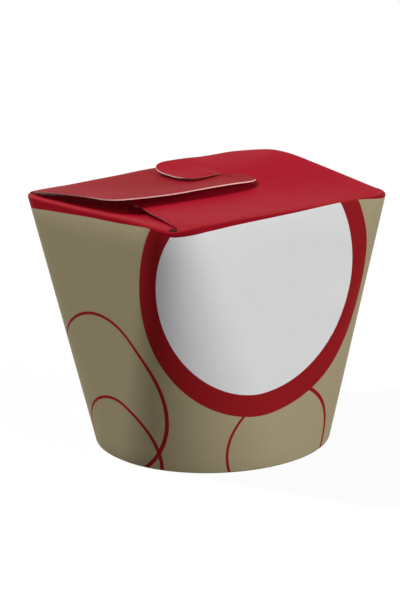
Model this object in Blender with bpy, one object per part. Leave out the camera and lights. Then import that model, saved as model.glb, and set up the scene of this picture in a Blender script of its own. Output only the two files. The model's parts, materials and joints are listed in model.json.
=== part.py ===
"""Folded paperboard food pail with a round recessed floor and a hooked lid.

One die-cut blank makes the wall, the rolled hem and the four lid flaps. A separate
floor disc with a down-turned skirt sits in the hem. Metres, +Z up, the origin is the
centre of the foot, -Y is the front panel.
"""
import bpy
import math
from mathutils import Vector, geometry

# ---- driving dimensions ------------------------------------------------------------
WALL_HEIGHT = 0.095          # foot to the lid creases
TOP_WIDTH = 0.1082           # across X at the creases
TOP_DEPTH = 0.0995           # across Y at the creases
TOP_CORNER = 0.0144          # plan radius of the corners at the creases
BASE_WIDTH = 0.0897          # across X at the foot
BASE_DEPTH = 0.0918          # across Y at the foot
BOARD = 0.00045              # paperboard thickness
CLEAR = 0.0003               # free play between two layers
GLUE_LINE = 0.0002           # glue between the two layers of the side seam
SEAM_LAP = 0.009             # width of the glued tab
CREASE_REACH = (0.0022, 0.0019, 0.0018, 0.0011)   # soft crease: front left, front right, back ...
HEM_HEIGHT = 0.0048          # top of the rolled hem
FLOOR_RECESS = 0.0065        # top face of the floor above the foot
FLOOR_BEND = 0.0009          # outer radius between floor and skirt
SKIRT_FOOT = 0.0013          # lower edge of the skirt
FOOT_FLAT = 0.0006           # width of the pressed flat under the hem
CORNER_STEPS = 14            # facets in each corner
SIDE_STEPS = 8               # stations on each straight crease
NOTCH_STEPS = 1              # corner facets left free each side of a corner's middle
HEM_STEPS = 5                # facets round the foot of the hem
BEND_STEPS = 4               # facets between floor and skirt
FOLD_STEPS = 4               # facets over each soft crease
TAB_STEPS = 4                # facets across the glued tab
WALL_LEVELS = (0.34, 0.67)   # rows of points up the wall, in shares of its height
FLOOR_RINGS = (0.8, 0.45)    # rows of points across the floor, in shares of its radius
MESH_STEP = 0.0034           # spacing of points inside a flap
EDGE_ROOM = 0.45             # points keep this share of the spacing from an edge
ARC_STEP = 0.0016            # longest edge on a rounded flap corner
ARC_TURN = 0.35              # and the most it turns, in radians
ARC_MOST = 12                # edges on a rounded flap corner, at most
ARC_ROOM = 0.85              # share of a side that a rounded corner may take up
FOLD_PULL = 0.39             # how far a fold follows the board each side, share of its chord
LOOK_AHEAD = 0.0004          # distance in which a fold takes over a flap's slope
LIFT_FADE = 0.35             # a crease's own rise fades out over this share of the top depth
CORNER_EDGE = 0.98           # share of the corner radius up to which its arc is followed
TAB_DROP = 2.2               # the tab ends this many crease widths below the crease
TAB_CORNER = 0.0025          # cut off the tab's free corners

# rise of each crease over the wall height, from corner to corner: (share of half the top
# width or depth, rise in metres)
LEFT_CREASE = ((-0.915, -0.0008), (-0.71, 0.0012), (0.20, 0.0013), (0.915, 0.0017))
FRONT_CREASE = ((-0.922, -0.0008), (-0.73, 0.0004), (0.20, 0.0004), (0.73, 0.0004),
                (0.922, 0.0002))
RIGHT_CREASE = ((-0.915, 0.0002), (-0.71, 0.0004), (0.71, 0.0003), (0.915, 0.0003))
BACK_CREASE = ((-0.922, 0.0016), (-0.80, 0.0013), (-0.60, 0.0014), (0.73, 0.0003),
               (0.922, 0.0003))

# lid, in shares of half the top width (X) and half the top depth (Y)
SLIT_Y = 0.170               # line on which the two hooks cross
SLIT_X = 0.258               # where they cross
SLIT_OVERLAP = 0.0024        # each slit runs this far past the crossing
SLIT_WIDTH = 0.0008
HOOK_STEP = 0.00105          # height between two hooked layers
HOOK_SPREAD = 0.0160         # the layers close again this far from the slits
FRONT_FLAP = {
    "far": 0.69, "side": 0.87, "hook": -0.068, "tuck": -0.555,
    "waist_x": -0.745, "waist_y": -0.42,
    "far_r": 0.019, "hook_far_r": 0.0115, "hook_near_r": 0.0070, "tuck_r": 0.0036,
}
BACK_FLAP = {
    "near_left": -0.160, "near_tip": -0.200, "side": -0.915, "tip": 0.466, "heel": 0.0013,
    "tuck": 0.77, "side_r": 0.0066, "tip_r": 0.0070, "heel_r": 0.0008, "tuck_r": 0.0076,
}
SIDE_FLAP = {"reach": 0.0405, "root": 0.45, "taper": -0.0025, "r": 0.0080, "sink": 0.0030,
             "run": 0.0140}

# lift of the closed flaps over the crease plane: (distance from the crease as a share of
# the top depth, ((share of half the top width, lift in metres), ...))
FRONT_LIFT = (
    (0.373, ((-0.80, 0.0005), (-0.36, 0.0005), (0.0, 0.0007), (0.27, 0.0014),
             (0.58, 0.0040), (0.88, 0.0069))),
    (0.585, ((-0.80, 0.0006), (-0.36, 0.0016), (-0.07, 0.0037), (0.05, 0.0037), (0.26, 0.0043),
             (0.58, 0.0071), (0.88, 0.0100))),
    (0.840, ((-0.10, 0.0080), (0.10, 0.0081), (0.30, 0.0082), (0.45, 0.0080), (0.58, 0.0082),
             (0.72, 0.0090), (0.88, 0.0095))),
)
BACK_LIFT = (
    (0.105, ((-0.90, 0.0018), (-0.74, 0.0020), (-0.50, 0.0030), (-0.23, 0.0038),
             (0.0, 0.0046), (0.27, 0.0049), (0.58, 0.0044), (0.90, 0.0028))),
    (0.240, ((-0.90, 0.0034), (-0.74, 0.0035), (-0.50, 0.0037), (-0.23, 0.0041),
             (0.0, 0.0047), (0.27, 0.0052), (0.58, 0.0047), (0.90, 0.0034))),
    (0.415, ((-0.90, 0.0045), (-0.70, 0.0039), (-0.36, 0.0034), (-0.07, 0.0035), (0.05, 0.0036),
             (0.26, 0.0043), (0.58, 0.0040), (0.90, 0.0036))),
    (0.590, ((-0.90, 0.0048), (-0.70, 0.0042), (-0.40, 0.0038), (-0.07, 0.0042), (0.10, 0.0043),
             (0.27, 0.0042), (0.58, 0.0043), (0.90, 0.0040))),
)

# ---- derived -----------------------------------------------------------------------
HALF_W = TOP_WIDTH / 2
HALF_D = TOP_DEPTH / 2
BASE_CORNER = min(BASE_WIDTH, BASE_DEPTH) / 2
LAYER = BOARD + CLEAR
HEM_RADIUS = (3 * BOARD + 2 * CLEAR) / 2
SEAM_SHIFT = BOARD + GLUE_LINE
CORNERS = ((-1, -1, 180.0), (1, -1, 270.0), (1, 1, 0.0), (-1, 1, 90.0))
SEAM_CORNER = CORNERS.index((1, 1, 0.0))      # back right
SEAM_GAP = 0.3               # degrees between the two ends of the blank at the hem
SEAM_RAMP = 10.0             # degrees of the corner in which the outer end steps out
SEAM_ROOM = 1.15             # the tab keeps this many ramps clear of the corner's start
SLIT_YM = SLIT_Y * HALF_D
SLIT_XM = SLIT_X * HALF_W
FINE_REACH = 2.6 * MESH_STEP  # the mesh is finer this near the crossing of the hooks
SIDES = ("left", "front", "right", "back")    # the nth lies between corners n - 1 and n
LEFT, FRONT, RIGHT, BACK = SIDES
CREASES = {LEFT: LEFT_CREASE, FRONT: FRONT_CREASE, RIGHT: RIGHT_CREASE, BACK: BACK_CREASE}


def smooth(t):
    t = min(max(t, 0.0), 1.0)
    return t * t * (3 - 2 * t)


def spline(stations, x):
    """Smooth curve through (position, value) stations, straight beyond its ends."""
    xs = [s[0] for s in stations]
    ys = [s[1] for s in stations]
    n = len(xs)
    slopes = []
    for i in range(n):
        a = max(i - 1, 0)
        b = min(i + 1, n - 1)
        slopes.append((ys[b] - ys[a]) / (xs[b] - xs[a]))
    if x <= xs[0]:
        return ys[0] + slopes[0] * (x - xs[0])
    if x >= xs[-1]:
        return ys[-1] + slopes[-1] * (x - xs[-1])
    k = max(i for i in range(n - 1) if xs[i] <= x)
    h = xs[k + 1] - xs[k]
    t = (x - xs[k]) / h
    return ((2 * t ** 3 - 3 * t ** 2 + 1) * ys[k] + (t ** 3 - 2 * t ** 2 + t) * h * slopes[k]
            + (-2 * t ** 3 + 3 * t ** 2) * ys[k + 1] + (t ** 3 - t ** 2) * h * slopes[k + 1])


def crease_inset(u, half, corner):
    """How far the rounded crease line falls behind its straight part at cross position u."""
    over = abs(u) - (half - corner)
    if over <= 0:
        return 0.0
    over = min(over, corner * CORNER_EDGE)
    return corner - math.sqrt(corner * corner - over * over)


def corner_mix(values, x, y):
    """Blend the four corner values (front left, front right, back right, back left)."""
    u = min(max((x / HALF_W + 1) / 2, 0.0), 1.0)
    v = min(max((y / HALF_D + 1) / 2, 0.0), 1.0)
    fl, fr, br, bl = values
    return (fl * (1 - u) + fr * u) * (1 - v) + (bl * (1 - u) + br * u) * v


def crease_lift(side, x, y):
    """Rise of one side's crease, at the point of it nearest to x, y."""
    stations = CREASES[side]
    share = y / HALF_D if side in (LEFT, RIGHT) else x / HALF_W
    return spline(stations, min(max(share, stations[0][0]), stations[-1][0]))


def fade(distance):
    return max(0.0, 1 - distance / (LIFT_FADE * TOP_DEPTH)) ** 2


def hook_share(x, side):
    """0 to 1 over the crossing; side 1 for the back flap, -1 for the front flap."""
    return smooth(0.5 + side * (x - SLIT_XM) / (2 * SLIT_OVERLAP))


def near_slit(y):
    return 1 - smooth(abs(y - SLIT_YM) / HOOK_SPREAD)


def rows_lift(rows, v, x):
    share = x / HALF_W
    stations = [(0.0, 0.0)]
    for row_v, row in rows:
        stations.append((row_v * TOP_DEPTH, spline(row, share)))
    return spline(stations, max(v, 0.0))


def front_height(x, y):
    v = y + HALF_D - crease_inset(x, HALF_W, TOP_CORNER)
    step = HOOK_STEP * hook_share(x, -1) * (1 if y > SLIT_YM else -1) * near_slit(y)
    return WALL_HEIGHT + crease_lift(FRONT, x, y) * fade(v) + rows_lift(FRONT_LIFT, v, x) + step


def back_height(x, y):
    v = HALF_D - y - crease_inset(x, HALF_W, TOP_CORNER)
    step = HOOK_STEP * hook_share(x, 1) * (-1 if y > SLIT_YM else 1) * near_slit(y)
    return WALL_HEIGHT + crease_lift(BACK, x, y) * fade(v) + rows_lift(BACK_LIFT, v, x) + step


def side_height(x, y):
    v = max(HALF_W - abs(x) - crease_inset(y, HALF_D, TOP_CORNER), 0.0)
    drop = SIDE_FLAP["sink"] * (1 - math.exp(-v / SIDE_FLAP["run"]))
    side = LEFT if x < 0 else RIGHT
    return WALL_HEIGHT + crease_lift(side, x, y) * fade(v) - drop


# ---- the wall as a family of straight rulings --------------------------------------
class Ruling:
    """One straight line of the developable wall, foot to crease, with its inward normal."""

    def __init__(self, foot, rim, side, inward, tangent):
        self.foot = foot
        self.rim = rim
        self.d = (rim - foot).normalized()
        self.m = -(tangent.cross(self.d)).normalized()
        self.plan_in = inward
        self.shift = 0.0
        self.head = self.at_height(WALL_HEIGHT + crease_lift(side, rim.x, rim.y))
        self.span = self.head - foot
        self.reach = corner_mix(CREASE_REACH, rim.x, rim.y)

    def at_height(self, z, depth=0.0):
        """Point at height z on the layer that lies depth inside the outer face."""
        start = self.foot + self.m * depth
        return start + self.d * ((z - start.z) / self.d.z)


def corner_ruling(corner, angle):
    sx, sy, start = CORNERS[corner]
    a = math.radians(angle)
    c = math.cos(a)
    s = math.sin(a)
    rim = Vector((sx * (HALF_W - TOP_CORNER) + TOP_CORNER * c,
                  sy * (HALF_D - TOP_CORNER) + TOP_CORNER * s, WALL_HEIGHT))
    foot = Vector((sx * (BASE_WIDTH / 2 - BASE_CORNER) + BASE_CORNER * c,
                   sy * (BASE_DEPTH / 2 - BASE_CORNER) + BASE_CORNER * s, 0.0))
    side = SIDES[corner] if angle - start <= 45.0 else side_after(corner)
    return Ruling(foot, rim, side, Vector((-c, -s, 0.0)), Vector((-s, c, 0.0)))


def side_after(corner):
    return SIDES[(corner + 1) % 4]


def between(a, b, side, t):
    rim = a.rim.lerp(b.rim, t)
    return Ruling(a.foot.lerp(b.foot, t), rim, side, a.plan_in, (b.rim - a.rim).normalized())


def seam_shift(corner, angle):
    """Outward step of the blank's outer end over its glued tab, measured at the crease."""
    if corner == SEAM_CORNER and angle <= 45.0:
        return SEAM_SHIFT * smooth(angle / SEAM_RAMP)
    return 0.0


def columns():
    """Rulings anticlockwise from the seam, each with its corner and step number."""
    out = []
    half = CORNER_STEPS // 2
    turn = 90.0 / CORNER_STEPS
    plan = [(SEAM_CORNER, half, CORNER_STEPS), (3, 0, CORNER_STEPS), (0, 0, CORNER_STEPS),
            (1, 0, CORNER_STEPS), (SEAM_CORNER, 0, half)]
    for corner, first, last in plan:
        for k in range(first, last + 1):
            angle = CORNERS[corner][2] + k * turn
            if corner == SEAM_CORNER and k == half:
                angle += SEAM_GAP if first == half else -SEAM_GAP
            ruling = corner_ruling(corner, angle)
            ruling.shift = seam_shift(corner, angle)
            out.append((ruling, corner, k))
    return out


class Sheet:
    def __init__(self):
        self.verts = []
        self.faces = []

    def add(self, point):
        self.verts.append(Vector(point))
        return len(self.verts) - 1

    def quad(self, a, b, c, d):
        face = []
        for v in (a, b, c, d):
            if v not in face:
                face.append(v)
        if len(face) > 2:
            self.faces.append(face)

    def strip(self, row_a, row_b):
        for k in range(len(row_a) - 1):
            self.quad(row_a[k], row_a[k + 1], row_b[k + 1], row_b[k])


def hem_profile(r):
    """Outer face of one column from the hem's top, round the foot, to the wall's start."""
    lean = (HEM_RADIUS * (1 - r.m.z)) / r.d.z
    centre = r.foot + r.d * lean + r.m * HEM_RADIUS
    inner = centre + r.m * HEM_RADIUS
    top = inner + r.d * ((HEM_HEIGHT - inner.z) / r.d.z)
    mid = inner.lerp(top, 0.5)
    points = [top, mid, inner]
    for k in range(1, HEM_STEPS + 1):
        a = math.pi * (1 - k / HEM_STEPS)
        c = math.cos(a)
        out = r.shift * (1 + c) / 2
        p = centre - r.m * (HEM_RADIUS * c + out) - r.d * (HEM_RADIUS * math.sin(a))
        if abs(2 * k - HEM_STEPS) == 1:
            p = centre - r.m * (math.copysign(FOOT_FLAT / 2, c) + out)
            p.z = 0.0
        points.append(p)
    return points


def bezier(p0, d0, p3, d3, steps):
    reach = (p3 - p0).length * FOLD_PULL
    p1 = p0 + d0 * reach
    p2 = p3 - d3 * reach
    out = []
    for k in range(1, steps + 1):
        t = k / steps
        s = 1 - t
        out.append(p0 * s ** 3 + p1 * (3 * s * s * t) + p2 * (3 * s * t * t) + p3 * t ** 3)
    return out


def rounded(corners):
    """Plan polyline through (x, y, radius) corners; the first and last stay sharp."""
    out = [Vector(corners[0][:2])]
    for k in range(1, len(corners) - 1):
        p = Vector(corners[k][:2])
        r = corners[k][2]
        a = (Vector(corners[k - 1][:2]) - p)
        b = (Vector(corners[k + 1][:2]) - p)
        if r <= 0:
            out.append(p)
            continue
        half = a.angle(b) / 2
        cut = r / math.tan(half)
        cut = min(cut, a.length * ARC_ROOM, b.length * ARC_ROOM)
        r = cut * math.tan(half)
        a.normalize()
        b.normalize()
        centre = p + (a + b).normalized() * (r / math.sin(half))
        start = p + a * cut - centre
        sweep = start.angle_signed(p + b * cut - centre)
        steps = max(2, int(abs(sweep) * r / ARC_STEP + abs(sweep) / ARC_TURN))
        steps = min(steps, ARC_MOST)
        for j in range(steps + 1):
            w = -sweep * j / steps
            turned = Vector((start.x * math.cos(w) - start.y * math.sin(w),
                             start.x * math.sin(w) + start.y * math.cos(w)))
            out.append(centre + turned)
    out.append(Vector(corners[-1][:2]))
    return out


def resample(points, step):
    """Split long straights so that no edge is much longer than step."""
    out = [points[0]]
    for a, b in zip(points, points[1:]):
        n = max(1, round((b - a).length / step))
        for k in range(1, n + 1):
            out.append(a.lerp(b, k / n))
    return out


def inside(p, loop):
    hit = False
    for a, b in zip(loop, loop[1:] + loop[:1]):
        if (a.y > p.y) != (b.y > p.y):
            if p.x < (b.x - a.x) * (p.y - a.y) / (b.y - a.y) + a.x:
                hit = not hit
    return hit


def clear_of(p, loop, least):
    for a, b in zip(loop, loop[1:] + loop[:1]):
        ab = b - a
        t = min(max((p - a).dot(ab) / max(ab.length_squared, 1e-18), 0.0), 1.0)
        if (a + ab * t - p).length < least:
            return False
    return True


def fill_points(loop):
    """Staggered points inside a flap, closer together round the crossing of the hooks."""
    out = []
    crossing = Vector((SLIT_XM, SLIT_YM))
    for step, near in ((MESH_STEP, False), (MESH_STEP / 2, True)):
        xs = [p.x for p in loop]
        ys = [p.y for p in loop]
        rise = step * math.sqrt(3) / 2
        row = 0
        y = math.floor(min(ys) / rise) * rise
        while y < max(ys):
            x = math.floor(min(xs) / step) * step + (step / 2 if row % 2 else 0.0)
            while x < max(xs):
                p = Vector((x, y))
                close = (p - crossing).length < FINE_REACH
                if close == near and inside(p, loop) and clear_of(p, loop, step * EDGE_ROOM):
                    out.append(p)
                x += step
            y += rise
            row += 1
    return out


def build_flap(sheet, root, corners, height):
    """Triangulate a flap between its crease end points and its cut outline."""
    root_plan = [sheet.verts[i].to_2d() for i in root]
    first = root_plan[-1]
    last = root_plan[0]
    path = [(first.x, first.y, 0.0)] + corners + [(last.x, last.y, 0.0)]
    outline = resample(rounded(path), MESH_STEP)[1:-1]
    loop = root_plan + outline
    free = fill_points(loop)
    coords = loop + free
    n = len(loop)
    edges = [(k, (k + 1) % n) for k in range(n)]
    result = geometry.delaunay_2d_cdt(coords, edges, [], 1, 1e-9)
    verts, faces, origin = result[0], result[2], result[3]
    index = []
    for v, source in zip(verts, origin):
        known = [s for s in source if s < len(root)]
        if known:
            index.append(root[known[0]])
        else:
            index.append(sheet.add((v.x, v.y, height(v.x, v.y))))
    for f in faces:
        a, b, c = (verts[k] for k in f[:3])
        ids = [index[k] for k in f]
        if (b - a).cross(c - a) < 0:
            ids.reverse()
        sheet.faces.append(ids)


def flap_outlines():
    lower = SLIT_YM - SLIT_WIDTH / 2
    upper = SLIT_YM + SLIT_WIDTH / 2
    f = FRONT_FLAP
    front = [
        (f["side"] * HALF_W, f["far"] * HALF_D, f["far_r"]),
        (f["hook"] * HALF_W, f["far"] * HALF_D, f["hook_far_r"]),
        (f["hook"] * HALF_W, upper, f["hook_near_r"]),
        (SLIT_XM + SLIT_OVERLAP, upper, 0.0),
        (SLIT_XM + SLIT_OVERLAP, lower, 0.0),
        (f["tuck"] * HALF_W, lower, f["tuck_r"]),
        (f["waist_x"] * HALF_W, f["waist_y"] * HALF_D, 0.0),
    ]
    b = BACK_FLAP
    back = [
        (b["side"] * HALF_W, b["near_left"] * HALF_D, b["side_r"]),
        (b["tip"] * HALF_W, b["near_tip"] * HALF_D, b["tip_r"]),
        (SLIT_XM + b["heel"], lower, b["heel_r"]),
        (SLIT_XM - SLIT_OVERLAP, lower, 0.0),
        (SLIT_XM - SLIT_OVERLAP, upper, 0.0),
        (b["tuck"] * HALF_W, upper, b["tuck_r"]),
    ]
    s = SIDE_FLAP
    x = HALF_W - s["reach"]
    y = HALF_D - TOP_CORNER * s["root"] - s["taper"]
    left = [(-x, -y, s["r"]), (-x, y, s["r"])]
    right = [(x, y, s["r"]), (x, -y, s["r"])]
    return {FRONT: (front, front_height), RIGHT: (right, side_height),
            BACK: (back, back_height), LEFT: (left, side_height)}


def blank():
    sheet = Sheet()
    cols = columns()
    half = CORNER_STEPS // 2

    # hem and foot
    profiles = []
    for r, corner, k in cols:
        profiles.append([sheet.add(p) for p in hem_profile(r)])
    for row in range(len(profiles[0]) - 1):
        sheet.strip([p[row] for p in profiles], [p[row + 1] for p in profiles])

    # wall rows up to the start of the soft crease
    rails = []
    for (r, corner, k), profile in zip(cols, profiles):
        length = r.span.length - r.reach
        out = -r.m * r.shift
        rail = [profile[-1]]
        rail += [sheet.add(r.foot + r.d * (length * s) + out) for s in WALL_LEVELS]
        rail.append(sheet.add(r.foot + r.d * length + out))
        rails.append(rail)
    crest = []          # (vertex, ruling, side or None)
    for k in range(len(cols)):
        r, corner, step = cols[k]
        side = None
        if step >= half + NOTCH_STEPS:
            side = side_after(corner)
        elif step <= half - NOTCH_STEPS:
            side = SIDES[corner]
        crest.append((rails[k][-1], r, side))
        if k + 1 == len(cols):
            break
        nxt = cols[k + 1][0]
        for row in range(len(WALL_LEVELS)):
            sheet.quad(rails[k][row], rails[k + 1][row], rails[k + 1][row + 1], rails[k][row + 1])
        a = rails[k][-2]
        b = rails[k + 1][-2]
        if cols[k + 1][1] == corner:
            sheet.quad(a, b, rails[k + 1][-1], rails[k][-1])
            continue
        samples = [rails[k][-1]]
        side = side_after(corner)
        for j in range(1, SIDE_STEPS):
            mid = between(r, nxt, side, j / SIDE_STEPS)
            mid.shift = r.shift + (nxt.shift - r.shift) * j / SIDE_STEPS
            point = mid.foot + mid.d * (mid.span.length - mid.reach) - mid.m * mid.shift
            vert = sheet.add(point)
            crest.append((vert, mid, side))
            samples.append(vert)
        samples.append(rails[k + 1][-1])
        middle = SIDE_STEPS // 2
        for j in range(SIDE_STEPS):
            sheet.faces.append([a if j < middle else b, samples[j + 1], samples[j]])
        sheet.faces.append([a, b, samples[middle]])

    # soft creases and flaps
    outlines = flap_outlines()
    stacks = {}
    seam_ends = (crest[0][0], crest[-1][0])
    for vert, r, side in crest:
        start = sheet.verts[vert]
        end = r.head - r.m * r.shift + r.plan_in * r.reach
        ahead = end + r.plan_in * LOOK_AHEAD
        kept = 1 if vert in seam_ends else FOLD_STEPS // 2
        if side is not None:
            height = outlines[side][1]
            end.z = height(end.x, end.y)
            ahead.z = height(ahead.x, ahead.y)
            kept = FOLD_STEPS
        fold = bezier(start, r.d, end, (ahead - end).normalized(), FOLD_STEPS)
        stacks[vert] = [vert] + [sheet.add(p) for p in fold[:kept]]
    for (va, ra, sa), (vb, rb, sb) in zip(crest, crest[1:]):
        a = stacks[va]
        b = stacks[vb]
        for j in range(min(len(a), len(b)) - 1):
            sheet.quad(a[j], b[j], b[j + 1], a[j + 1])
    for side, (corners, height) in outlines.items():
        root = [stacks[c[0]][-1] for c in crest if c[2] == side]
        build_flap(sheet, root, corners, height)

    # glued tab inside the outer end of the blank
    seam = cols[0][0]
    top = WALL_HEIGHT - TAB_DROP * seam.reach
    grid = [rails[0]]
    for j in range(1, TAB_STEPS + 1):
        cut = TAB_CORNER * max(0.0, 2 * j / TAB_STEPS - 1)
        low = SKIRT_FOOT + cut
        high = top - cut
        column = []
        for z in (low, *(SKIRT_FOOT + (top - SKIRT_FOOT) * s for s in WALL_LEVELS), high):
            f = z / WALL_HEIGHT
            arc = math.radians(45.0) * (BASE_CORNER * (1 - f) + TOP_CORNER * f)
            turn = min(45.0 * SEAM_LAP / arc, 45.0 - SEAM_ROOM * SEAM_RAMP) * j / TAB_STEPS
            r = corner_ruling(SEAM_CORNER, 45.0 + SEAM_GAP - turn)
            column.append(sheet.add(r.at_height(z)))
        grid.append(column)
    for a, b in zip(grid, grid[1:]):
        for row in range(len(a) - 1):
            sheet.quad(b[row], a[row], a[row + 1], b[row + 1])
    return sheet


def floor_disc():
    sheet = Sheet()
    rulings = []
    for corner in (0, 1, 2, 3):
        for k in range(CORNER_STEPS + 1):
            rulings.append(corner_ruling(corner, CORNERS[corner][2] + k * 90.0 / CORNER_STEPS))
    rows = []
    for z in (SKIRT_FOOT, FLOOR_RECESS - FLOOR_BEND):
        rows.append([sheet.add(r.at_height(z, LAYER)) for r in rulings])
    for step in range(1, BEND_STEPS + 1):
        a = math.pi / 2 * step / BEND_STEPS
        row = []
        for r in rulings:
            p = r.at_height(FLOOR_RECESS - FLOOR_BEND * (1 - math.sin(a)), LAYER)
            p += r.plan_in * (FLOOR_BEND * (1 - math.cos(a)))
            row.append(sheet.add(p))
        rows.append(row)
    rim = [sheet.verts[i] for i in rows[-1]]
    for share in FLOOR_RINGS:
        rows.append([sheet.add(Vector((p.x * share, p.y * share, p.z))) for p in rim])
    hub = sheet.add((0.0, 0.0, FLOOR_RECESS))
    n = len(rulings)
    for a, b in zip(rows, rows[1:]):
        for k in range(n):
            sheet.quad(a[k], a[(k + 1) % n], b[(k + 1) % n], b[k])
    for k in range(n):
        sheet.faces.append([rows[-1][k], rows[-1][(k + 1) % n], hub])
    return sheet


def material(name, colour, roughness):
    mat = bpy.data.materials.new(name)
    mat.use_nodes = True
    shader = mat.node_tree.nodes["Principled BSDF"]
    shader.inputs["Base Color"].default_value = (*colour, 1.0)
    shader.inputs["Roughness"].default_value = roughness
    return mat


def make(name, sheet, mat):
    mesh = bpy.data.meshes.new(name)
    mesh.from_pydata([tuple(v) for v in sheet.verts], [], sheet.faces)
    mesh.validate()
    mesh.shade_smooth()
    mesh.set_sharp_from_angle(angle=math.radians(35.0))
    mesh.materials.append(mat)
    obj = bpy.data.objects.new(name, mesh)
    bpy.context.collection.objects.link(obj)
    board = obj.modifiers.new("board", "SOLIDIFY")
    board.thickness = BOARD
    board.offset = -1.0
    board.use_even_offset = True
    board.use_quality_normals = True
    board.thickness_clamp = 0.0
    return obj


for old in list(bpy.data.objects):
    bpy.data.objects.remove(old, do_unlink=True)

make("lid_and_wall_blank", blank(), material("coated_board", (0.33, 0.26, 0.18), 0.5))
make("floor_disc", floor_disc(), material("raw_board", (0.86, 0.82, 0.76), 0.7))
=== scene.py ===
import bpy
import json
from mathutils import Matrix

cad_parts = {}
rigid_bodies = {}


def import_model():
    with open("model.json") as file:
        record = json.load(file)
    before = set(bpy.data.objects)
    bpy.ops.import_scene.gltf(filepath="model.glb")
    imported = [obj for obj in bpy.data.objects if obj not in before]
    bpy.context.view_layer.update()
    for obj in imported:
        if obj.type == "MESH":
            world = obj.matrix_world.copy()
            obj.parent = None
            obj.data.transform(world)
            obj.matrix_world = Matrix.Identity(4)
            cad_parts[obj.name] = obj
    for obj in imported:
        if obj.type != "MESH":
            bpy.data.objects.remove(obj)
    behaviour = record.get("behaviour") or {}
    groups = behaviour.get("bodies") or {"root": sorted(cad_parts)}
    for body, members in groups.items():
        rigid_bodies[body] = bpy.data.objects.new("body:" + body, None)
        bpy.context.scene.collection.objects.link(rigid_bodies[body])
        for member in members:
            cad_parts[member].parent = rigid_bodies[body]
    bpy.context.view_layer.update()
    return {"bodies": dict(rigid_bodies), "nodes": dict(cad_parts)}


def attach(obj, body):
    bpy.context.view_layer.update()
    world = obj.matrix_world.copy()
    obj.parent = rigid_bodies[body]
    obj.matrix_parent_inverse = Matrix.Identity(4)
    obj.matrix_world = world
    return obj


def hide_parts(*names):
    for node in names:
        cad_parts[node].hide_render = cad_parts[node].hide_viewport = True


bl_info = {
    "name": "Folded Food Pail",
    "version": (1, 0, 0),
    "blender": (4, 5, 0),
    "location": "View3D > Sidebar > Food Pail",
    "description": "Folds, prints and lights a round-base paperboard food pail",
    "category": "Object",
}

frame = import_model()

import json
import math

import bpy
from bpy.props import FloatProperty, FloatVectorProperty, PointerProperty
from mathutils import Matrix, Vector, geometry

ROOT = next(iter(frame["bodies"]))

# ---- resolution of the folded sheet
CORNER_STEPS = 32  # stations in each corner
SIDE_STEPS = 30  # stations on each straight crease
NOTCH_STEPS = 2  # corner stations left free each side of a corner's middle
WALL_ROWS = 16
FOLD_STEPS = 9
SEAM_FOLD_STEPS = 2  # of the fold, kept at the seam's two ends
TAB_STEPS = 6
FLAP_STEP = 0.0017  # spacing of points inside a flap
ROW_RISE = 0.866  # spacing of their rows, as a share of it
EDGE_CLEAR = 0.45  # how far they stay off the outline, as a share of it
CROSSING_ZONE = 0.009  # this near to the hooks' crossing they lie twice as close
CURVE_STEP = 0.0008  # spacing of points on a rounded corner of a flap
CURVE_TURN = 0.2  # most turn between two of them, in radians
MOST_CUT = 0.85  # share of a straight that one rounded corner may take
SLOPE_STEP = 0.0004  # distance over which a flap's slope is taken at its crease
SMOOTH_ANGLE = 38.0  # sharper edges stay sharp, in degrees

# ---- corners of the pail: side of X, side of Y, where its quarter turn starts
CORNERS = ((-1, -1, 180.0), (1, -1, 270.0), (1, 1, 0.0), (-1, 1, 90.0))
QUARTER = 90.0
MIDDLE = 45.0  # degrees from a corner's start to its middle
FRONT_LEFT = 0
SEAM_CORNER = 2
LEFT_SIDE, FRONT_SIDE, RIGHT_SIDE, BACK_SIDE = 0, 1, 2, 3  # side n ends at corner n
CREASE_REACH = (0.0022, 0.0019, 0.0018, 0.0011)  # half width of the soft crease
SEAM_GAP = 0.3  # degrees between the two ends of the blank
SEAM_RAMP = 10.0  # degrees in which the outer end steps over its tab
TAB_STOP = 1.15 * SEAM_RAMP  # the tab ends this many degrees before the corner does
TAB_TOP = 2.2  # and this many crease reaches below the creases
TAB_CUT = 0.0025  # height cut off its two free corners
HEM_ROWS = (0.33, 0.67)  # rows between the hem's top and its turn
HEM_TURN = (157.5, 135.0, 112.5, 67.5, 45.0, 22.5, 0.0)  # stations of it, in degrees
HEM_PRESSED = (112.5, 67.5)  # the two stations of the turn that are pressed flat
HANDLE = 0.39  # curve handles of a soft crease, as a share of its chord

# rise of each crease over the wall height, from corner to corner: (share of half the top
# width or depth, rise in metres)
CREASES = {
    LEFT_SIDE: ((-0.915, -0.0008), (-0.71, 0.0012), (0.2, 0.0013), (0.915, 0.0017)),
    FRONT_SIDE: ((-0.922, -0.0008), (-0.73, 0.0004), (0.2, 0.0004), (0.73, 0.0004),
                 (0.922, 0.0002)),
    RIGHT_SIDE: ((-0.915, 0.0002), (-0.71, 0.0004), (0.71, 0.0003), (0.915, 0.0003)),
    BACK_SIDE: ((-0.922, 0.0016), (-0.8, 0.0013), (-0.6, 0.0014), (0.73, 0.0003),
                (0.922, 0.0003)),
}

# ---- lid flaps, in shares of half the top width (X) and half the top depth (Y)
FRONT_FLAP = {
    "far": 0.69, "side": 0.87, "hook": -0.068, "tuck": -0.555,
    "waist_x": -0.745, "waist_y": -0.42,
    "far_r": 0.019, "hook_far_r": 0.0115, "hook_near_r": 0.007, "tuck_r": 0.0036,
}
BACK_FLAP = {
    "near_left": -0.16, "near_tip": -0.2, "side": -0.915, "tip": 0.466, "heel": 0.0013,
    "tuck": 0.77, "side_r": 0.0066, "tip_r": 0.007, "heel_r": 0.0008, "tuck_r": 0.0076,
}
SIDE_FLAP = {"reach": 0.0405, "root": 0.45, "taper": -0.0025, "r": 0.008, "sink": 0.003,
             "run": 0.014}

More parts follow.
